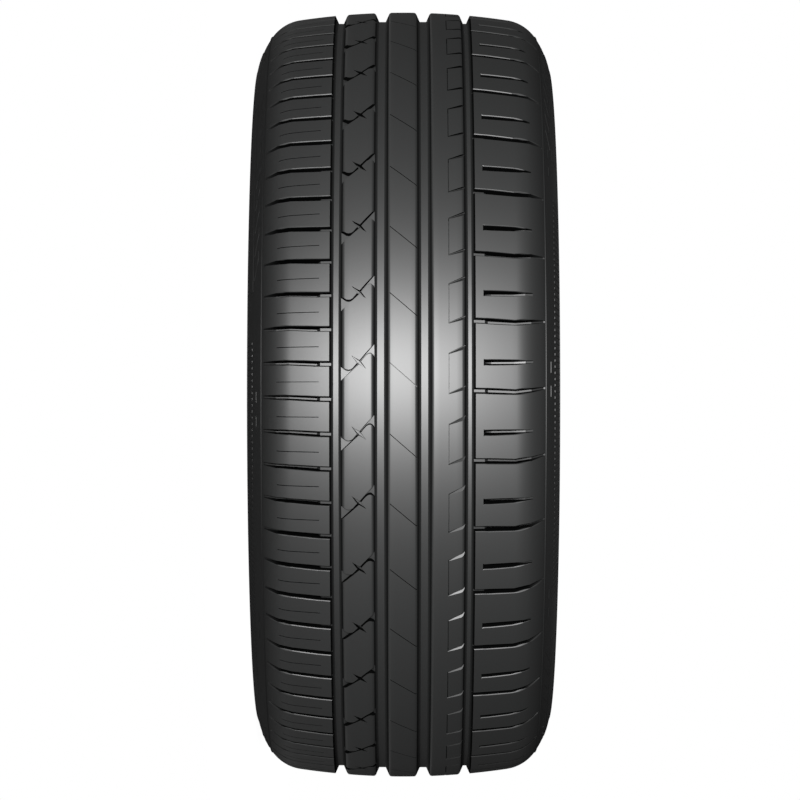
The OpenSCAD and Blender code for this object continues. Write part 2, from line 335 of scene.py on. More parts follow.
def revolved(line, start, end, steps):
    """Rings of a section line turned about the axle, from one share of the pitch to another."""
    rows = [turned(np.column_stack([np.zeros(len(line)), line]), PITCH * share)
            for share in np.linspace(start, end, steps + 1)]
    return np.vstack(rows)


print("a pitch turns through", round(math.degrees(PITCH), 2), "degrees")

# %% [markdown]
# A boolean has to know which side of a face is outside. So each closed shape is checked when it is made: if
# the volume worked out from its faces is below zero, they all point inward and are flipped.

# %% One pitch, uncut
def solid(name, points, faces):
    """A mesh object of a closed shape, with its faces turned outward."""
    mesh = bpy.data.meshes.new(name)
    mesh.from_pydata([tuple(p) for p in points], [], [tuple(f) for f in faces])
    made = bpy.data.objects.new(name, mesh)
    bpy.context.scene.collection.objects.link(made)
    if volume_of(points, faces) < 0:
        mesh.flip_normals()
    return made


def volume_of(points, faces):
    """Six times the volume inside a closed shape, below zero if its faces point inward."""
    points = np.asarray(points, float)
    return sum(np.dot(points[f[0]], np.cross(points[f[i]], points[f[i + 1]]))
               for f in faces for i in range(1, len(f) - 1))


def wedge_faces(count, steps):
    """Faces of a revolved wedge whose section has count points: its skin and its two ends."""
    faces = []
    for s in range(steps):
        for i in range(count):
            p, q = s * count + i, s * count + (i + 1) % count
            faces.append([p, q, q + count, p + count])
    return faces + [list(range(count))[::-1], [steps * count + i for i in range(count)]]


wedge_points = revolved(section, WEDGE_START, WEDGE_START + 1, WEDGE_STEPS)
wedge = solid("wedge", wedge_points, wedge_faces(len(section), WEDGE_STEPS))
print("wedge before cutting:", len(wedge.data.vertices), "points")

# %% [markdown]
# A groove that runs across the tread is lofted along a row of stations, so that its width and its depth can
# change on the way, and its upper edges can be broken. A bevel modifier would do edges too, but not with
# another size at each station. Each cutting shape stands proud of the tread, so that the boolean cuts clean
# through its surface.

# %% Cross grooves
EDGE_SPREAD = 0.75
STEEPEST = 0.05
cuts = []


def loft_faces(count, stations):
    """The faces of a closed shape made of rings of count points each."""
    faces = [list(range(count)), [count * stations - k - 1 for k in range(count)]]
    for i in range(stations - 1):
        for k in range(count):
            p, q = count * i + k, count * i + (k + 1) % count
            faces += [[q, p, p + count], [q, p + count, q + count]]
    return faces


def cross_groove(stations, edges=None, lean=0.0):
    """A groove across the tread, lofted through stations of
    (distance from the middle plane, share of the pitch, width at the surface, width of the floor, depth).
    Its upper edges are broken over the depths given in edges, one for each station.
    Lean moves the floor sideways, from 0 in the middle to 1 below the groove's far edge."""
    mid = PITCH * stations[0][1]
    points = []
    for (a, share, width, floor, depth), drop in zip(stations, edges or [0] * len(stations)):
        spare = (width - floor) / 2 - drop * EDGE_SPREAD
        middle = (PITCH * share - mid) * OUTER_R + spare * lean
        for side in (-1, 1):
            slope = max(spare * (1 - side * lean), STEEPEST) / depth
            edge = floor / 2 + slope * (depth - drop)
            top = edge + (drop + PROUD) * (EDGE_SPREAD if drop else slope)
            wall = [(top, PROUD), (edge, -drop), (floor / 2, -depth)]
            points += [(middle + side * w, a, surface_r(a) + z) for w, z in wall[::-side]]
    cuts.append(("groove", turned(points, mid), loft_faces(6, len(stations))))


# %% [markdown]
# A pocket is a hollow with an outline and a flat floor. Each of its walls leans by its own amount: a steep
# wall draws a dark line, and a gentle one catches the light. A loft couldn't give each wall its own lean.

# %% Pockets
def pocket(places, depth, drafts, fall=0.0):
    """A flat-floored pocket with leaning walls. Its floor is a list of places, clockwise from outside,
    each with its wall's lean. The floor rises towards the high side by fall for each millimetre."""
    share = places[0][1]
    r = surface_r(places[0][0])
    low = np.array([((s - share) * PITCH * OUTER_R, a) for a, s in places])
    run = np.roll(low, -1, axis=0) - np.roll(low, 1, axis=0)
    run /= np.linalg.norm(run, axis=1)[:, None]
    lean = np.array(drafts)[:, None] * (depth + PROUD) / depth
    high = low + lean * np.column_stack([-run[:, 1], run[:, 0]])
    middle = low[:, 1].mean()
    n = len(low)
    points = [(x, a, r - depth + fall * (a - middle)) for x, a in low]
    points += [(x, a, r + PROUD) for x, a in high]
    faces = [list(range(n)), [2 * n - 1 - i for i in range(n)]]
    for i in range(n):
        j = (i + 1) % n
        faces += [[j, i, n + i], [j, n + i, n + j]]
    cuts.append(("pocket", turned(points, PITCH * share), faces))


# %% [markdown]
# A sipe is the cut that a thin steel blade in the mould leaves, of the same width all the way. It gives the
# rubber edges that grip. A pit is a small round hollow.

# %% Sipes and pits
SIPE_W = 0.6
SIPE_DEPTH = 5.0
SIPE_STATIONS = 4
PIT_SIDES = 16
PIT_TAPER = 1.3


def sipe(start, end):
    """A thin straight cut between two places, whose floor follows the tread."""
    mid = (start[1] + end[1]) / 2
    run = np.array([(end[1] - start[1]) * PITCH * OUTER_R, end[0] - start[0]])
    side = np.array([-run[1], run[0]]) / np.linalg.norm(run) * SIPE_W / 2
    points = []
    for t in np.linspace(0, 1, SIPE_STATIONS):
        a = start[0] + t * (end[0] - start[0])
        place = np.array([(start[1] - mid) * PITCH * OUTER_R, start[0]]) + t * run
        for away, rise in ((-side, PROUD), (-side, -SIPE_DEPTH), (side, -SIPE_DEPTH), (side, PROUD)):
            points.append((*(place + away), surface_r(a) + rise))
    cuts.append(("sipe", turned(points, PITCH * mid), loft_faces(4, SIPE_STATIONS)))


def dimple(a, share, width, depth):
    """A small round pit."""
    r = surface_r(a)
    ring = [(math.cos(t), math.sin(t)) for t in np.linspace(0, 2 * math.pi, PIT_SIDES, endpoint=False)]
    points = [(x * width / 2, a + y * width / 2, r + PROUD) for x, y in ring]
    points += [(x * width / 2 / PIT_TAPER, a + y * width / 2 / PIT_TAPER, r - depth) for x, y in ring]
    faces = [list(range(PIT_SIDES)), [2 * PIT_SIDES - 1 - k for k in range(PIT_SIDES)]]
    for k in range(PIT_SIDES):
        after = (k + 1) % PIT_SIDES
        faces.append([k, PIT_SIDES + k, PIT_SIDES + after, after])
    cuts.append(("dimple", turned(points, PITCH * share), faces))


# %% [markdown]
# The shoulder grooves lead water out of the tread. Next to the round groove a low bridge ties two blocks
# together, so that they don't flex. Past the bridge the groove drops to its full depth, and from the
# shoulder's knee outward it narrows and runs out to nothing at the tread's edge. Their upper edges are
# slightly rounded, which draws a fine bright line along each groove where the tread turns away.

# %% Shoulder grooves
SHOULDER_GROOVE_W = 5.2
SHOULDER_GROOVE_END_W = 2.4
SHOULDER_GROOVE_DEPTH = 6.6
BRIDGE_DEPTH = 3.4
BRIDGE_LEN = 7.0
EDGE_DEPTH = 1.0
DIMPLE_D = 2.1


def low_shoulder_groove(share):
    """An open groove of the shoulder below the middle plane."""
    w, end_w, deep = SHOULDER_GROOVE_W, SHOULDER_GROOVE_END_W, SHOULDER_GROOVE_DEPTH
    floor_w = 0.22 * w
    bridge_end = groove_low(GROOVE_1) - BRIDGE_LEN
    cross_groove([
        (GROOVE_1["at"] - 1, share + 0.022, w, 1.8 * floor_w, BRIDGE_DEPTH),
        (bridge_end, share + 0.019, w, 1.8 * floor_w, BRIDGE_DEPTH),
        (bridge_end - 2.5, share + 0.018, w, floor_w, deep),
        (-SHOULDER_AT - 1, share, 0.88 * w, floor_w, 0.94 * deep),
        (-(SHOULDER_AT + EDGE_A) / 2, share - 0.002, (w + end_w) / 2, 0.7 * floor_w, 0.7 * deep),
        (-(EDGE_A - 2), share - 0.004, end_w, 0.5 * end_w, 0.2 * deep),
    ], [EDGE_DEPTH] * 4 + [0.1 * EDGE_DEPTH, 0.0], lean=0.25)


def high_shoulder_groove(share):
    """An open groove of the other shoulder, with a pit at its end."""
    w, end_w, deep = 1.06 * SHOULDER_GROOVE_W, 0.83 * SHOULDER_GROOVE_END_W, SHOULDER_GROOVE_DEPTH
    floor_w = 0.3 * w
    bridge_end = groove_high(GROOVE_4) + BRIDGE_LEN
    cross_groove([
        (GROOVE_4["at"] + 1, share - 0.02, w, 1.2 * floor_w, BRIDGE_DEPTH),
        (bridge_end, share - 0.016, w, 1.2 * floor_w, BRIDGE_DEPTH),
        (bridge_end + 2.5, share - 0.014, w, floor_w, deep),
        (SHOULDER_AT - 1, share, 0.88 * w, floor_w, 0.94 * deep),
        ((SHOULDER_AT + EDGE_A) / 2, share - 0.026, (w + end_w) / 2, 0.7 * floor_w, 0.6 * deep),
        (EDGE_A - 2, share - 0.057, end_w, 0.5 * end_w, 0.18 * deep),
    ], [EDGE_DEPTH] * 4 + [0.1 * EDGE_DEPTH, 0.0])
    dimple(EDGE_A - 1.5, share - 0.061, DIMPLE_D, DIMPLE_D / 2)


for half in (-0.5, 0.0):
    low_shoulder_groove(0.043 + half)
high_shoulder_groove(-0.036)
print("cutting shapes for the open grooves:", len(cuts))

# %% [markdown]
# Each block of the low shoulder has one sipe. On the high shoulder a closed slot lies between two open
# grooves. It reaches neither the round groove nor the tread's edge, so the blocks beside it stay stiff.

# %% Shoulder sipes and closed slot
def closed_slot(share):
    """A slot between two open grooves, which reaches neither the round groove nor the tread's edge."""
    w, deep = 1.06 * SHOULDER_GROOVE_W, SHOULDER_GROOVE_DEPTH
    floor_w, end_w = 0.22 * w, 0.42 * w
    start = groove_high(GROOVE_4) + 0.86 * BRIDGE_LEN
    cross_groove([
        (start, share, w, 0.9 * w, 0.1 * deep),
        (start + 1.2, share, w, 0.1, 0.9 * deep),
        (start + 6, share, w, floor_w, deep),
        (SHOULDER_AT - 2, share - 0.004, 0.9 * w, floor_w, 0.82 * deep),
        (SHOULDER_AT + 7, share - 0.01, 1.3 * end_w, 0.6 * end_w, 0.35 * deep),
        (EDGE_A - 10.5, share - 0.016, end_w, 0.7 * end_w, 0.18 * deep),
    ], [0.3 * EDGE_DEPTH] + [EDGE_DEPTH] * 3 + [0.3 * EDGE_DEPTH, 0.0])


for half in (-0.5, 0.0):
    sipe((-0.592 * EDGE_A, -0.18 + half), (-0.888 * EDGE_A, -0.18 + half))
closed_slot(-0.458)
print("cutting shapes for the shoulders:", len(cuts))

# %% [markdown]
# Rib 2 carries the cut that gives this tread its face: a slanted cut that opens at each end into a
# curved scoop, crossed by a short pointed cut, the lens. A sharp crease along each curve draws the dark line
# that sets the scoop off from the rib. No formula gives such curves, so they are places listed one by one, as
# shares of the rib's width and of the pitch. A crease also has a share of its full width at each place.

# %% Lines of the scoops
SCOOP_DEPTH = 2.2
SCOOP_CURVE_DRAFT = 0.4
SCOOP_LINE_DRAFT = 0.45
SCOOP_FALL = 0.06
LENS_W = 1.7
LENS_DRAFT = 0.5
LENS_ENDS = ((0.305, -0.55), (0.76, -0.37))
CREASE_W = 1.7
CREASE_DEPTH = 3.8
CREASE_FLOOR = 0.2

SCOOP_OUTLINE = [
    (-0.09, -0.400), (0.04, -0.362), (0.10, -0.342), (0.17, -0.336), (0.25, -0.342), (0.32, -0.358),
    (0.45, -0.412), (0.56, -0.467), (0.73, -0.552), (1.09, -0.728), (1.09, -0.525), (1.01, -0.570),
    (0.93, -0.590), (0.85, -0.588), (0.77, -0.564), (0.66, -0.510), (0.52, -0.440), (0.36, -0.372),
    (-0.09, -0.190),
]
CREASE_LOW = [
    (-0.10, -0.403, 0.9), (0.04, -0.362, 1.0), (0.11, -0.342, 1.0), (0.18, -0.336, 1.0),
    (0.26, -0.341, 1.0), (0.34, -0.362, 1.0), (0.46, -0.414, 1.0), (0.58, -0.474, 0.6),
]
CREASE_HIGH = [
    (0.47, -0.421, 0.6), (0.60, -0.479, 0.9), (0.70, -0.529, 1.0), (0.79, -0.570, 1.0),
    (0.87, -0.590, 1.0), (0.94, -0.590, 1.0), (1.01, -0.570, 1.0), (1.10, -0.524, 0.9),
]
SCOOP_DRAFTS = [SCOOP_CURVE_DRAFT] * 6 + [0.6] + [SCOOP_LINE_DRAFT] * 3 + [SCOOP_CURVE_DRAFT] * 6 + [0.6]
SCOOP_DRAFTS += [SCOOP_LINE_DRAFT] * 2
print("places along the scoop:", len(SCOOP_OUTLINE), "and along its creases:", len(CREASE_LOW + CREASE_HIGH))

# %% [markdown]
# The shares turn into places between the two round grooves beside the rib, so the scoops follow when a
# groove is moved. The hollow is one pocket, each crease is a narrow groove that runs along its curve, and
# the lens is a pocket half as deep as a sipe.

# %% Scoops and lens
def across_rib(t):
    """A distance from the middle plane, from a share of rib 2's width."""
    low, high = groove_high(GROOVE_1), groove_low(GROOVE_2)
    return low + t * (high - low)


def scooped_cut():
    """The slanted cut of rib 2 with its two scoops, their creases, and the lens."""
    pocket([(across_rib(t), share) for t, share in SCOOP_OUTLINE], SCOOP_DEPTH, SCOOP_DRAFTS, SCOOP_FALL)
    for crease in (CREASE_LOW, CREASE_HIGH):
        stations = [(across_rib(t), share, w * CREASE_W, CREASE_FLOOR, CREASE_DEPTH)
                    for t, share, w in crease]
        cross_groove(stations)
    half_lens = LENS_W / 2 / (PITCH * OUTER_R)
    (low, low_share), (high, high_share) = LENS_ENDS
    middle, share = across_rib((low + high) / 2), (low_share + high_share) / 2
    lens = [(across_rib(low), low_share), (middle + LENS_W / 3, share - half_lens),
            (across_rib(high), high_share), (middle - LENS_W / 3, share + half_lens)]
    pocket(lens, SIPE_DEPTH / 2, [LENS_DRAFT] * 4)


scooped_cut()
print("cutting shapes with the scoops:", len(cuts))

# %% [markdown]
# Rib 4 has a flap, which a fine cut along the rib and two notches mark out. Each notch has one steep wall
# and one flat one, which catches the light from below. The middle rib has one thin slanted cut.

# %% Flap and thin cut
NOTCH_W = 3.4
NOTCH_DEPTH = 2.4
FLAP_W = 11.7


def flap_cut():
    """The fine cut along rib 4, and the two notches that lead from its ends to the round groove."""
    cut_at, open_at = groove_low(GROOVE_4) - FLAP_W, groove_low(GROOVE_4) + 2
    thin = 0.8 * SIPE_W
    sipe((cut_at, -0.578), (cut_at, -0.012))
    cross_groove([(cut_at - 0.3, -0.578, 2 * thin, thin, 0.3 * NOTCH_DEPTH),
                  (open_at, -0.68, 1.1 * NOTCH_W, thin, NOTCH_DEPTH)], lean=-1)
    cross_groove([(cut_at - 0.3, -0.012, 2 * thin, thin, 0.3 * NOTCH_DEPTH),
                  (open_at, -0.102, NOTCH_W, thin, NOTCH_DEPTH)], lean=-1)


flap_cut()
sipe((groove_high(GROOVE_2) + 0.9, -0.449), (groove_low(GROOVE_3) + 0.2, -0.113))
print("cutting shapes in a pitch:", len(cuts))

# %% [markdown]
# The boolean works on one wedge only, which keeps it quick and exact. The shapes of each kind are taken off
# in turn. The wedge's two end faces are untouched by any cut, so 37 copies meet point for point.

# %% One pitch, cut
for kind in ("groove", "pocket", "sipe", "dimple"):
    parts = [(p, f) for k, p, f in cuts if k == kind]
    for number, (points, faces) in enumerate(parts):
        tool = solid(f"{kind}_tool_{number}", points, faces)
        cut = wedge.modifiers.new(f"{kind}_{number}", "BOOLEAN")
        cut.operation, cut.solver, cut.object = "DIFFERENCE", "EXACT", tool
bpy.context.view_layer.update()
cut_mesh = bpy.data.meshes.new_from_object(wedge.evaluated_get(bpy.context.evaluated_depsgraph_get()))
for made in [o for o in bpy.data.objects if o.name == "wedge" or "_tool_" in o.name]:
    bpy.data.objects.remove(made)
print("wedge after cutting:", len(cut_mesh.vertices), "points,", len(cut_mesh.polygons), "faces")

# %% [markdown]
# Light shows every flat facet on glossy rubber. So each corner of a face that lies on the turned section
# gets the true normal of the section there, blended over the arcs and sharp at the grooves' edges.
# Blender's own smooth shading averages over neighbours, and would bend the light near every cut.

# %% Normals of the section
SMOOTH_BELOW = math.radians(24)


def section_normals(line):
    """For each stretch of the closed section line, its outward normal and those at its start and end."""
    run = np.roll(line, -1, axis=0) - line
    flat = np.column_stack([-run[:, 1], run[:, 0]]) / np.linalg.norm(run, axis=1)[:, None]
    area = np.sum(line[:, 0] * np.roll(line[:, 1], -1) - np.roll(line[:, 0], -1) * line[:, 1])
    flat *= -1 if area > 0 else 1
    before = np.roll(flat, 1, axis=0)
    mean = (flat + before) / np.linalg.norm(flat + before, axis=1)[:, None]
    smooth = np.sum(flat * before, axis=1) > math.cos(SMOOTH_BELOW)
    start = np.where(smooth[:, None], mean, flat)
    end = np.where(np.roll(smooth, -1)[:, None], np.roll(mean, -1, axis=0), flat)
    return flat, start, end


section_run = np.roll(section, -1, axis=0) - section
section_flat, section_start, section_end = section_normals(section)
print("stretches of the section:", len(section_run))

# %% [markdown]
# A face of the wedge is one of three things. It lies on the turned section, or a cut has made it, and then it
# keeps its own flat normal, or it is one of the narrow faces that break a groove's edge. Those get normals
# that turn from the tread to the groove's wall, so that the edge shines like a round one.

# %% Kinds of normal
ON_SECTION = 0.08
SAME_WAY = 0.98
EDGE_TURN_TOP = math.radians(32)
EDGE_TURN_MORE = math.radians(43)


def from_axle(angle):
    """The direction straight out of the axle, at an angle round it."""
    return np.array([math.sin(angle), -math.cos(angle), 0])


def face_normal(corners):
    """The outward normal of one flat face."""
    normal = np.sum(np.cross(corners, np.roll(corners, -1, axis=0)), axis=0)
    return normal / max(np.linalg.norm(normal), 1e-12)


def stretch_of(middle, facing):
    """The stretch of the section that a face was turned from, or None for a face that a cut has made."""
    share = np.sum((middle - section) * section_run, axis=1) / np.sum(section_run**2, axis=1)
    nearest = section + section_run * np.clip(share, 0, 1)[:, None]
    gap = np.linalg.norm(nearest - middle, axis=1)
    near = np.where((gap < ON_SECTION) & (section_flat @ facing > SAME_WAY))[0]
    return near[np.argmin(gap[near])] if len(near) else None


def turned_normal(place, angle, i):
    """The normal of the turned section at a place on its stretch i."""
    t = np.clip((place - section[i]) @ section_run[i] / (section_run[i] @ section_run[i]), 0, 1)
    n = section_start[i] * (1 - t) + section_end[i] * t
    n = n / np.linalg.norm(n)
    return [n[1] * math.sin(angle), -n[1] * math.cos(angle), n[0]]


def soft_edge(place, angle, depth, normal):
    """A normal that turns towards the groove wall's, already well on its way at the surface."""
    slope = (surface_r(place[0] + 0.1) - surface_r(place[0] - 0.1)) / 0.2
    up = from_axle(angle) - np.array([0, 0, slope])
    up /= np.linalg.norm(up)
    side = normal - (normal @ up) * up
    side /= np.linalg.norm(side)
    turn = EDGE_TURN_TOP + EDGE_TURN_MORE * np.clip(depth / EDGE_DEPTH, 0, 1)
    return up * math.cos(turn) + side * math.sin(turn)


# %% [markdown]
# A broken edge is known by two things: it lies no deeper than such edges go, and it leans between the tread
# and a groove's wall. The two flat ends of the wedge get no normals and are dropped, because they would
# lie inside the rubber of the whole tyre.

# %% Normals of the wedge
SOFT_TILT_LOW = 0.3
SOFT_TILT_HIGH = 0.85
SOFT_SPARE = 0.15


def corner_normals(points, faces):
    """A normal for each corner of each face of the wedge."""
    angle = np.arctan2(points[:, 0], -points[:, 1])
    places = np.column_stack([points[:, 2], np.hypot(points[:, 0], points[:, 1])])
    found, turned_faces, soft_faces = [], 0, 0
    for face in faces:
        normal = face_normal(points[face])
        tilt = normal @ from_axle(angle[face].mean())
        stretch = stretch_of(places[face].mean(axis=0), np.array([normal[2], tilt]))
        if stretch is not None:
            found += [turned_normal(places[v], angle[v], stretch) for v in face]
            turned_faces += 1
            continue
        depths = [surface_r(places[v][0]) - places[v][1] for v in face]
        if max(depths) < EDGE_DEPTH + SOFT_SPARE and SOFT_TILT_LOW < tilt < SOFT_TILT_HIGH:
            found += [soft_edge(places[v], angle[v], d, normal) for v, d in zip(face, depths)]
            soft_faces += 1
        else:
            found += [normal] * len(face)
    print("faces on the turned section:", turned_faces, "of", len(faces))
    print("faces of broken edges:", soft_faces)
    return np.array(found)


def shares_of(points):
    """Where points lie round the axle, in pitches."""
    return np.arctan2(points[:, 0], -points[:, 1]) / PITCH


ON_SEAM = 1e-5
points = np.array([v.co for v in cut_mesh.vertices])
shares = shares_of(points)
ends = (abs(shares - WEDGE_START) < ON_SEAM) | (abs(shares - WEDGE_START - 1) < ON_SEAM)
skin = [list(p.vertices) for p in cut_mesh.polygons]
skin = [f for f in skin if not (all(ends[v] for v in f) and np.ptp(shares[f]) < 0.5)]
skin_normals = corner_normals(points, skin)

# %% [markdown]
# A tyre mould is made of equal segments, and so is the tread. The cut wedge is repeated 37 times round the
# axle. An array modifier could do it, but it would lose the normals worked out above, so the copies are
# made here, and the points on each seam are shared between neighbours.

# %% Whole tyre from one pitch
def section_place(point):
    """A point's place in the section, rounded, so that the two ends of the wedge give the same."""
    return (round(point[2], 2), round(math.hypot(point[0], point[1]), 2))


def ring_of(points, faces, normals):
    """The wedge repeated round the axle, with the seams between neighbours joined."""
    share = shares_of(points)
    first = np.where(abs(share - WEDGE_START) < ON_SEAM)[0]
    last = np.where(abs(share - WEDGE_START - 1) < ON_SEAM)[0]
    partner = {section_place(points[v]): v for v in first}
    kept = np.setdiff1d(np.arange(len(points)), last)
    here = {v: i for i, v in enumerate(kept)}
    there = {v: here[partner[section_place(points[v])]] for v in last}
    all_points, all_faces, all_normals = [], [], []
    for copy in range(PITCHES):
        c, s = math.cos(copy * PITCH), math.sin(copy * PITCH)
        turn = np.array([[c, -s, 0], [s, c, 0], [0, 0, 1]])
        all_points.append(points[kept] @ turn.T)
        all_normals.append(normals @ turn.T)
        base, beyond = copy * len(kept), (copy + 1) % PITCHES * len(kept)
        all_faces += [[beyond + there[v] if v in there else base + here[v] for v in f] for f in faces]
    return np.vstack(all_points), all_faces, np.vstack(all_normals)


ring_points, ring_faces, ring_normals = ring_of(points, skin, skin_normals)
print("tread and casing:", len(ring_faces), "faces")

# %% [markdown]
# A tyre's sidewall carries raised marks, which are engraved in the mould. Each is a low plate that follows
# the sidewall's arc, so it reads as the same rubber. A bump texture would be simpler, but the marks show in
# the outline, so they are real shapes. Two formulas say where a plate lies and which way it faces.

# %% Places on the sidewall
def on_wall(angle, turn, rise, side):
    """A place on a sidewall, from its angle on the wall's arc and its turn round the axle."""
    a, r = polar(SIDE_C, SIDE_R + rise, angle)
    return (r * math.sin(turn), -r * math.cos(turn), side * a)


def wall_normal(point, rise, side):
    """The normal of the sidewall's arc at a point that stands off it by rise."""
    turn = math.atan2(point[0], -point[1])
    angle = math.asin((abs(point[2]) - SIDE_C[0]) / (SIDE_R + rise))
    return tuple(math.cos(angle) * from_axle(turn) + np.array([0, 0, side * math.sin(angle)]))


print("the sidewall's arc begins", round(polar(SIDE_C, SIDE_R, EDGE_ANGLE)[1], 1), "mm from the axle")

# %% [markdown]
# A plate is a grid of points on its top and a row of points round its foot. The foot is a little wider, so
# that the mould lets go of it, and it sinks into the wall, so that no gap can show.

# %% Raised plates
MARK_DRAFT = 0.3
MARK_SUNK = 0.3
PLATE_ROW = 4
PLATE_COLUMN = 2.5
mark_points, mark_faces, mark_normals = [], [], []


def wall_plate(low, high, start, end, height, side, sweep=0.0):
    """A raised plate on a sidewall. Low and high are angles on the wall's arc, start and end are turns
    round the axle, all in degrees. Sweep slants it: it shifts the far side by so many degrees of turn."""
    rows = max(1, round((high - low) / PLATE_ROW))
    columns = max(1, round((end - start) / PLATE_COLUMN))
    out_a, out_t = math.degrees(MARK_DRAFT / SIDE_R), math.degrees(MARK_DRAFT / OUTER_R)

    def place(u, v, grow, rise):
        angle = low + u * (high - low) + grow * out_a * (2 * u - 1)
        turn = start + v * (end - start) + sweep * u + grow * out_t * (2 * v - 1)
        return on_wall(math.radians(angle), math.radians(turn), rise, side)

    def number(i, j):
        return i * (columns + 1) + j

    grid = [(i / rows, j / columns) for i in range(rows + 1) for j in range(columns + 1)]
    rim = [(0, j) for j in range(columns)] + [(i, columns) for i in range(rows)]
    rim += [(rows, j) for j in range(columns, 0, -1)] + [(i, 0) for i in range(rows, 0, -1)]
    base, count = len(mark_points), len(rim)
    mark_points.extend(place(u, v, 0, height) for u, v in grid)
    mark_points.extend(place(i / rows, j / columns, 1, -MARK_SUNK) for i, j in rim)
    top = [[number(i, j), number(i, j + 1), number(i + 1, j + 1), number(i + 1, j)]
           for i in range(rows) for j in range(columns)]
    walls = [[len(grid) + k, len(grid) + (k + 1) % count, number(*rim[(k + 1) % count]), number(*rim[k])]
             for k in range(count)]
    for position, face in enumerate(top + walls):
        corners = [base + v for v in (face if side > 0 else face[::-1])]
        places = [mark_points[v] for v in corners]
        mark_faces.append(corners)
        if position < len(top):
            mark_normals.extend(wall_normal(point, height, side) for point in places)
        else:
            mark_normals.extend([tuple(face_normal(np.array(places)))] * len(face))


# %% [markdown]
# Fields of fine radial ribs hide the joints of the plies beneath, and bare framed fields stand between them.
# A loop places each kind, so that its number and its spacing can be changed in one value.

# %% Rib fields and frames
FIELDS = 3
FIELD_START = {1: -32, -1: -8}
FIELD_LOW = 67.5
FIELD_HIGH = 78
RIBS = 70
RIB_STEP = 0.95
RIB_W = 0.3
FRAME_AT = 74
FRAME_LEN = 38
FRAME_RING_W = 0.9
FRAME_END_W = 0.6
HIGH_MARK = 0.45
LOW_MARK = 0.3


def rib_field(begin, side):
    """A field of fine radial ribs."""
    for k in range(RIBS):
        at = begin + RIB_STEP * k
        wall_plate(FIELD_LOW, FIELD_HIGH, at, at + RIB_W, HIGH_MARK, side)


def bare_frame(begin, side):
    """The frame of a field that is left bare, between the two sidewall rings."""
    low, end = FIELD_LOW - 0.5, begin + FRAME_LEN
    for ring in (low, FIELD_HIGH):
        wall_plate(ring, ring + FRAME_RING_W, begin, end, LOW_MARK, side)
    for at in (begin, end - FRAME_END_W):
        wall_plate(low + FRAME_RING_W, FIELD_HIGH, at, at + FRAME_END_W, LOW_MARK, side)


print("sidewall fields:", FIELDS, "with", RIBS, "ribs each")

# %% [markdown]
# Slanted blades and short dashes follow the tread's edge. They stand above the fields, where the sidewall
# turns towards the tread, so they show most when the tyre is seen square on.

# %% Blades and dashes
BLADE_LOW = 59
BLADE_HIGH = 64.5
BLADES = 9
BLADE_STEP = 4
BLADE_W = 1.2
BLADE_SWEEP = 3.2
DASH_LOW = 61
DASH_HIGH = 62
DASH_STEP = 36
DASH_TURNS = (-4.9, -1.3)
DASH_LEN = 1.6


def blade_row(begin, side):
    """A row of slanted blades next to the tread's edge."""
    for k in range(BLADES):
        at = begin + BLADE_STEP * k
        wall_plate(BLADE_LOW, BLADE_HIGH, at, at + BLADE_W, LOW_MARK, side, BLADE_SWEEP)


def dashes(side):
    """Pairs of dashes next to the tread's edge, shifted a little on the low sidewall."""
    for k in range(360 // DASH_STEP):
        for turn in DASH_TURNS:
            at = DASH_STEP * k + turn + (DASH_STEP / 8 if side < 0 else 0)
            wall_plate(DASH_LOW, DASH_HIGH, at, at + DASH_LEN, HIGH_MARK, side)


for side in (1, -1):
    for field in range(FIELDS):
        begin = 360 / FIELDS * field + FIELD_START[side]
        rib_field(begin, side)
        bare_frame(begin + FRAME_AT, side)
        blade_row(begin + FRAME_AT, side)
    dashes(side)
print("sidewall marks:", len(mark_faces), "faces")

# %% [markdown]
# All of it comes out of the mould as one piece of rubber, so it becomes one mesh with one material.
# The normals worked out above are set on its corners, and they shade it smooth where the section is.
# It takes the place of the part's plain solid and rides on the one body.

# %% One piece of rubber
all_points = np.vstack([ring_points, np.array(mark_points)]) * MM
all_faces = ring_faces + [[len(ring_points) + v for v in f] for f in mark_faces]
all_normals = np.vstack([ring_normals, np.array(mark_normals)])
tyre_mesh = bpy.data.meshes.new("tyre_skin")
tyre_mesh.from_pydata(all_points.tolist(), [], all_faces)
tyre_mesh.polygons.foreach_set("use_smooth", [True] * len(tyre_mesh.polygons))
tyre_mesh.normals_split_custom_set(all_normals.tolist())
tyre = bpy.data.objects.new("tyre_skin", tyre_mesh)
bpy.context.scene.collection.objects.link(tyre)
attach(tyre, "root")
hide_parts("tyre")
tyre_mesh.calc_loop_triangles()
print("tyre:", len(tyre_mesh.polygons), "faces,", len(tyre_mesh.loop_triangles), "triangles")

# %% [markdown]
# Each effect of the finish is a group of nodes, with named values going in and masks or heights coming out,
# so that another material could use it too. One helper makes an empty group, and one feeds a socket from
# another node or with a plain value.

# %% Groups and links
def new_group(name, inputs, outputs):
    """A shader node group with named sockets. Inputs are (name, value) and outputs are names."""
    group = bpy.data.node_groups.new(name, "ShaderNodeTree")
    for label, value in inputs:
        socket = group.interface.new_socket(label, in_out="INPUT", socket_type="NodeSocketFloat")
        socket.default_value = value
    for label in outputs:
        group.interface.new_socket(label, in_out="OUTPUT", socket_type="NodeSocketFloat")
    return group, group.nodes.new("NodeGroupInput"), group.nodes.new("NodeGroupOutput")


def feed(tree, socket, value):
    """Links a socket to another node's output, or sets it to a plain value."""
    if isinstance(value, bpy.types.NodeSocket):
        tree.links.new(value, socket)
    else:
        socket.default_value = value


# %% [markdown]
# Shader nodes are easier to read when each is one line. So each of these helpers adds one node, feeds its
# inputs and gives back its result. Most of a finish is made of masks, which go from 0 to 1.

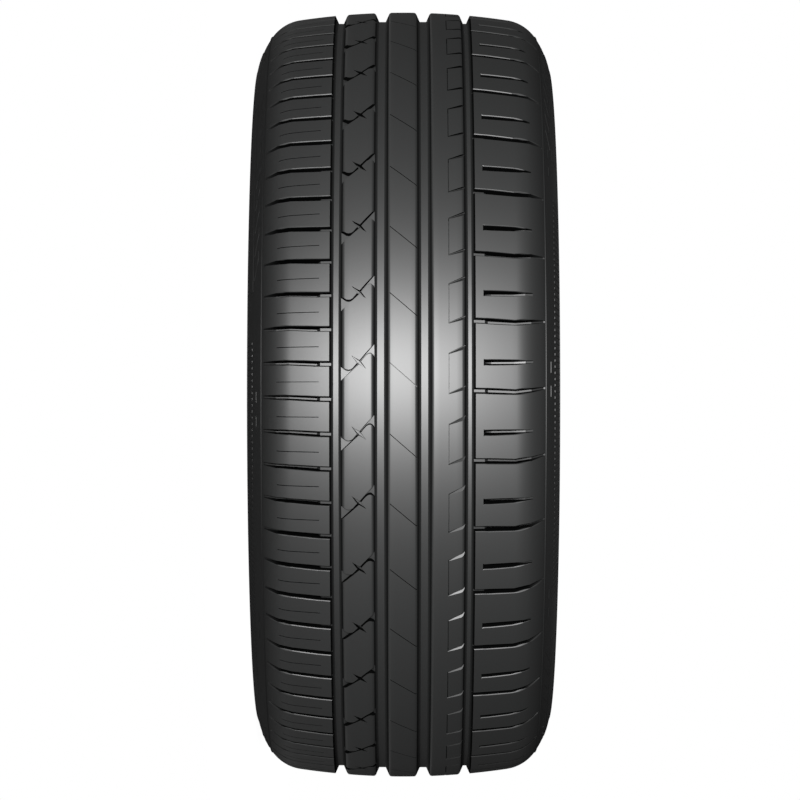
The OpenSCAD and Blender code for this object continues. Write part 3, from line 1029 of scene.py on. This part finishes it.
# %% Values and masks
def calculate(tree, operation, *values, kind="ShaderNodeMath"):
    """A maths node on outputs and plain values."""
    made = tree.nodes.new(kind)
    made.operation = operation
    for socket, value in zip(made.inputs, values):
        feed(tree, socket, value)
    return made


def maths(tree, operation, *values):
    """The result of a maths node."""
    return calculate(tree, operation, *values).outputs["Value"]


def vector_maths(tree, operation, *values, result="Vector"):
    """The result of a vector maths node."""
    return calculate(tree, operation, *values, kind="ShaderNodeVectorMath").outputs[result]


def ramp(tree, value, low, high, shape="LINEAR"):
    """A value turned into a mask, which goes from 0 at low to 1 at high."""
    made = tree.nodes.new("ShaderNodeMapRange")
    made.interpolation_type = shape
    for label, given in (("Value", value), ("From Min", low), ("From Max", high)):
        feed(tree, made.inputs[label], given)
    return made.outputs["Result"]


def blend(tree, mask, first, second, kind="FLOAT"):
    """The first value where the mask is 0 and the second where it is 1."""
    made = tree.nodes.new("ShaderNodeMix")
    made.data_type = kind
    for label, given in (("Factor", mask), ("A", first), ("B", second)):
        feed(tree, made.inputs[label], given)
    return made.outputs["Result"]


# %% [markdown]
# Tyre rubber is a deep black. A new tyre wears a thin dressing on the faces that look outward, the ribs and
# the groove floors, and shines softly there. It reaches the groove walls hardly at all, and the sidewalls a
# little. The groove walls' colour is also painted far darker than the tread's, as painted shade for the shade
# that falls deep in the grooves. Which face is which could be painted by hand or given by material slots.
# Here it follows from two facts that every point knows: how far its normal leans away from the axle, and
# where it is in the section.

# %% Face kinds
AIR_SIDE_R = OUTER_R - CROWN_T + 3
INWARD_FROM = -0.2
INWARD_FULL = -0.6
SIDE_FROM = EDGE_A - 14
SIDE_FULL = EDGE_A + 1


def face_kinds():
    """Masks of the faces that look outward, of the sidewalls and of the air side."""
    group, given, put = new_group(
        "Face kinds", [("Wall below", 0.42), ("Tread above", 0.6)], ["Tread", "Side", "Inside"]
    )
    place = group.nodes.new("ShaderNodeTexCoord").outputs
    at, facing = (group.nodes.new("ShaderNodeSeparateXYZ") for _ in range(2))
    feed(group, at.inputs[0], place["Object"])
    feed(group, facing.inputs[0], place["Normal"])
    flat = vector_maths(group, "MULTIPLY", place["Object"], (1, 1, 0))
    outward = vector_maths(group, "NORMALIZE", flat)
    lean = vector_maths(group, "DOT_PRODUCT", outward, place["Normal"], result="Value")
    # This mask also gives the groove walls their darker colour, which is painted shade.
    tread = ramp(group, lean, given.outputs["Wall below"], given.outputs["Tread above"], "SMOOTHSTEP")
    across = maths(group, "ABSOLUTE", at.outputs["Z"])
    radius = vector_maths(group, "LENGTH", flat, result="Value")
    half = maths(group, "SIGN", at.outputs["Z"])
    away = maths(group, "MULTIPLY_ADD", half, facing.outputs["Z"], lean)
    inward = ramp(group, away, INWARD_FROM, INWARD_FULL)
    below_tread = maths(group, "LESS_THAN", radius, AIR_SIDE_R * MM)
    feed(group, put.inputs["Tread"], tread)
    feed(group, put.inputs["Side"], ramp(group, across, SIDE_FROM * MM, SIDE_FULL * MM))
    feed(group, put.inputs["Inside"], maths(group, "MULTIPLY", inward, below_tread))
    return group


FACE_KINDS = face_kinds()
print("mask nodes:", len(FACE_KINDS.nodes))

# %% [markdown]
# A mould's sandblasted skin leaves a fine grain on rubber, and handling leaves slow patches of more and less
# shine. Both are noise: a small one for the height, a large one for the roughness.

# %% Rubber grain
def rubber_grain():
    """Fine grain as a height, and slow patches of roughness."""
    group, given, put = new_group(
        "Rubber grain",
        [("Grain scale", 900.0), ("Patch scale", 14.0), ("Roughness", 0.4), ("Variation", 0.05)],
        ["Roughness", "Height"],
    )
    place = group.nodes.new("ShaderNodeTexCoord").outputs
    grain, patch = (group.nodes.new("ShaderNodeTexNoise") for _ in range(2))
    for noise, scale in ((grain, "Grain scale"), (patch, "Patch scale")):
        feed(group, noise.inputs["Vector"], place["Object"])
        feed(group, noise.inputs["Scale"], given.outputs[scale])
    centred = maths(group, "SUBTRACT", patch.outputs["Fac"], 0.5)
    rough = maths(group, "MULTIPLY_ADD", centred, given.outputs["Variation"], given.outputs["Roughness"])
    feed(group, put.inputs["Roughness"], rough)
    feed(group, put.inputs["Height"], grain.outputs["Fac"])
    return group


GRAIN = rubber_grain()
print("grain nodes:", len(GRAIN.nodes))

# %% [markdown]
# The air side is pressed against a rubber bladder when the tyre is cured. The bladder's vents leave fine
# slanted ridges, like a coarse thread. A sine of the turn round the axle and of the distance along it
# draws them, and its crests alone become the height.

# %% Liner ridges
RIDGE_FROM = 0.6


def liner_ridges():
    """Fine slanted ridges of the air side, as a height."""
    group, given, put = new_group("Liner ridges", [("Count", 120.0), ("Slant", 300.0)], ["Height"])
    place = group.nodes.new("ShaderNodeTexCoord").outputs
    at = group.nodes.new("ShaderNodeSeparateXYZ")
    feed(group, at.inputs[0], place["Object"])
    turn = maths(group, "ARCTAN2", at.outputs["Y"], at.outputs["X"])
    steps = maths(group, "MULTIPLY", turn, given.outputs["Count"])
    phase = maths(group, "MULTIPLY_ADD", at.outputs["Z"], given.outputs["Slant"], steps)
    feed(group, put.inputs["Height"], ramp(group, maths(group, "SINE", phase), RIDGE_FROM, 1.0))
    return group


LINER_RIDGES = liner_ridges()
print("ridge nodes:", len(LINER_RIDGES.nodes))

# %% [markdown]
# One material dresses the whole tyre, because it is one piece. Its colour, roughness and sheen are given for
# four places, and the masks choose between them. The sheen is a coat over a plain black body, as a dressing
# is a film over rubber. The groove walls have none, so that the grooves stay dark, and their colour is
# painted
# shade: far darker than the tread's, for the shade that falls deep in the grooves.

# %% Rubber
# The groove walls' colour is painted shade, seven times darker than the tread's.
SHADED_GROOVE_WALL = dict(colour=(0.003, 0.0031, 0.0031, 1.0), roughness=0.75, sheen=0.0)
TREAD = dict(colour=(0.021, 0.022, 0.0218, 1.0), roughness=0.505, sheen=1.0)
SIDEWALL = dict(colour=(0.016, 0.0165, 0.0165, 1.0), roughness=0.6, sheen=0.5)
AIR_SIDE = dict(colour=(0.034, 0.034, 0.035, 1.0), roughness=0.55, sheen=0.4)
DRESSING_IOR = 2.18
BUMP_STRENGTH = 0.15
BUMP_HEIGHT = 0.2


def tyre_rubber():
    """The one finish of the tyre."""
    material = bpy.data.materials.new("tyre_rubber")
    material.use_nodes = True
    tree = material.node_tree
    skin = tree.nodes["Principled BSDF"].inputs
    skin["Specular IOR Level"].default_value = 0.0
    skin["Coat IOR"].default_value = DRESSING_IOR
    skin["Coat Roughness"].default_value = TREAD["roughness"]
    kinds, grain, ridges = (tree.nodes.new("ShaderNodeGroup") for _ in range(3))
    kinds.node_tree = FACE_KINDS
    grain.node_tree = GRAIN
    ridges.node_tree = LINER_RIDGES

    def by_place(quality, kind="FLOAT"):
        """One quality of the finish, chosen by the masks."""
        value = blend(tree, kinds.outputs["Tread"], SHADED_GROOVE_WALL[quality], TREAD[quality], kind)
        value = blend(tree, kinds.outputs["Side"], value, SIDEWALL[quality], kind)
        return blend(tree, kinds.outputs["Inside"], value, AIR_SIDE[quality], kind)

    feed(tree, skin["Base Color"], by_place("colour", "RGBA"))
    feed(tree, skin["Coat Weight"], by_place("sheen"))
    feed(tree, grain.inputs["Roughness"], by_place("roughness"))
    feed(tree, skin["Roughness"], grain.outputs["Roughness"])
    bump = tree.nodes.new("ShaderNodeBump")
    bump.inputs["Strength"].default_value = BUMP_STRENGTH
    bump.inputs["Distance"].default_value = BUMP_HEIGHT * MM
    height = blend(tree, kinds.outputs["Inside"], grain.outputs["Height"], ridges.outputs["Height"])
    feed(tree, bump.inputs["Height"], height)
    feed(tree, skin["Normal"], bump.outputs["Normal"])
    return material


rubber = tyre_rubber()
tyre_mesh.materials.append(rubber)
print("material:", rubber.name, "with", len(rubber.node_tree.nodes), "nodes")

# %% [markdown]
# The photograph looks square on to the tread through a long lens, with the tyre upright.
# The part lies on its sidewall, so the camera is level with it and rolled by a quarter turn: its right is
# the part's axle line, and its up is the part's -X. The distance follows from how fast the tread's rows
# close up towards the picture's top and bottom, and the lens from the tyre's size in the picture.

# %% Camera
DISTANCE = 3.3836
FOCAL_PX = 3938.6
FRAME_PX = 800
CENTRE_RIGHT_PX = 3.6
CENTRE_UP_PX = 5.4
SENSOR_W = 36.0
RIGHT = Vector((0, 0, 1))
UP = Vector((-1, 0, 0))
BACK = Vector((0, -1, 0))

camera = bpy.data.cameras.new("camera")
camera.sensor_width = SENSOR_W
camera.lens = FOCAL_PX * SENSOR_W / FRAME_PX
camera.shift_x = -CENTRE_RIGHT_PX / FRAME_PX
camera.shift_y = -CENTRE_UP_PX / FRAME_PX
viewer = bpy.data.objects.new("camera", camera)
bpy.context.scene.collection.objects.link(viewer)
bpy.context.scene.camera = viewer
looking = Matrix((RIGHT, UP, BACK)).transposed().to_4x4()
viewer.matrix_world = Matrix.Translation(BACK * DISTANCE) @ looking
print("lens", round(camera.lens, 1), "mm")

# %% [markdown]
# One large soft light stands by the camera, a little towards the picture's top, and gives the tread its
# broad sheen. Its power follows from its distance, so that a sheet at the axle that faces it renders about
# as its colour is written. A dim light behind and one high above only lift the other sides out of the dark.
# Many lights would wash out the sheen's soft fall-off.

# %% Lights
KEY_DISTANCE = 3.6
KEY_UP = math.radians(7.0)
KEY_SIDE = math.radians(-2.8)
KEY_WATTS = math.pi**2 * KEY_DISTANCE**2
key_place = (-KEY_DISTANCE * math.tan(KEY_UP), -KEY_DISTANCE, KEY_DISTANCE * math.tan(KEY_SIDE))


def soft_light(name, place, size, watts):
    """A round lamp that looks at the middle of the tyre."""
    data = bpy.data.lights.new(name, "AREA")
    data.shape, data.size, data.energy = "DISK", size, watts
    lamp = bpy.data.objects.new(name, data)
    bpy.context.scene.collection.objects.link(lamp)
    lamp.location = place
    lamp.rotation_euler = (-Vector(place)).to_track_quat("-Z", "Y").to_euler()
    print(name, "lamp of", round(watts, 1), "W at", [round(x, 2) for x in place])


soft_light("key", key_place, size=0.8, watts=KEY_WATTS)
soft_light("rear", (0.0, 2.8, 1.65), size=1.6, watts=1.5)
soft_light("overhead", (0.0, 0.0, 5.0), size=3.4, watts=6.0)

# %% [markdown]
# The photograph's ground is plain white. More light could make a floor white, but it would also wash out the
# tyre. So the floor and the world glow white for the camera's own rays only, and stay plain for all others.

# %% White for the camera
def white_to_camera(tree, plain, bright):
    """One shader for the camera's rays and a plain one for all others."""
    seen = tree.nodes.new("ShaderNodeLightPath")
    pick = tree.nodes.new("ShaderNodeMixShader")
    feed(tree, pick.inputs["Fac"], seen.outputs["Is Camera Ray"])
    feed(tree, pick.inputs[1], plain)
    feed(tree, pick.inputs[2], bright)
    return pick.outputs[0]


def glow(tree, strength):
    """A white glow."""
    made = tree.nodes.new("ShaderNodeEmission")
    made.inputs["Strength"].default_value = strength
    return made.outputs[0]


def added(tree, first, second):
    """Two shaders added up."""
    made = tree.nodes.new("ShaderNodeAddShader")
    feed(tree, made.inputs[0], first)
    feed(tree, made.inputs[1], second)
    return made.outputs[0]


# %% [markdown]
# The tyre lies on a round sheet of white paper, at the height where the part's lowest sidewall is. The sheet
# is stage, so it belongs to the picture and not to the part. Its own faint glow keeps the tyre's shadow soft.

# %% Floor
FLOOR_BOUNCE = 0.07
FLOOR_GLOW = 0.9
FLOOR_RADIUS = 0.9
FLOOR_EDGES = 96
PAPER = (0.9, 0.9, 0.9, 1)


def floor_paper():
    """White paper with a faint glow of its own."""
    material = bpy.data.materials.new("floor")
    material.use_nodes = True
    tree = material.node_tree
    tree.nodes.remove(tree.nodes["Principled BSDF"])
    paper = tree.nodes.new("ShaderNodeBsdfDiffuse")
    paper.inputs["Color"].default_value = PAPER
    plain = added(tree, paper.outputs[0], glow(tree, FLOOR_BOUNCE))
    bright = added(tree, plain, glow(tree, FLOOR_GLOW))
    feed(tree, tree.nodes["Material Output"].inputs["Surface"], white_to_camera(tree, plain, bright))
    return material


turns = np.linspace(0, 2 * math.pi, FLOOR_EDGES, endpoint=False)
floor_rim = [(FLOOR_RADIUS * math.cos(t), FLOOR_RADIUS * math.sin(t), cad_low[2]) for t in turns]
floor_mesh = bpy.data.meshes.new("floor")
floor_mesh.from_pydata(floor_rim, [], [tuple(range(FLOOR_EDGES))])
floor_mesh.materials.append(floor_paper())
floor = bpy.data.objects.new("floor", floor_mesh)
bpy.context.scene.collection.objects.link(floor)
print("floor at", round(cad_low[2] / MM, 1), "mm")

# %% [markdown]
# The world gives a little light from all round, so that no groove is quite black.

# %% World
AMBIENT = 0.05

world = bpy.data.worlds.new("surroundings")
bpy.context.scene.world = world
world.use_nodes = True
world_tree = world.node_tree
dim = world_tree.nodes["Background"]
bright = world_tree.nodes.new("ShaderNodeBackground")
for ground, strength in ((dim, AMBIENT), (bright, 1.0)):
    ground.inputs["Color"].default_value = (1, 1, 1, 1)
    ground.inputs["Strength"].default_value = strength
picked = white_to_camera(world_tree, dim.outputs[0], bright.outputs[0])
feed(world_tree, world_tree.nodes["World Output"].inputs["Surface"], picked)
bpy.context.scene.view_settings.view_transform = "Standard"
print("light from all round:", AMBIENT)

# %% [markdown]
# The view layer is brought up to date at the end. The visible tyre has to fill the same
# box as the part that it takes the place of.

bpy.context.view_layer.update()
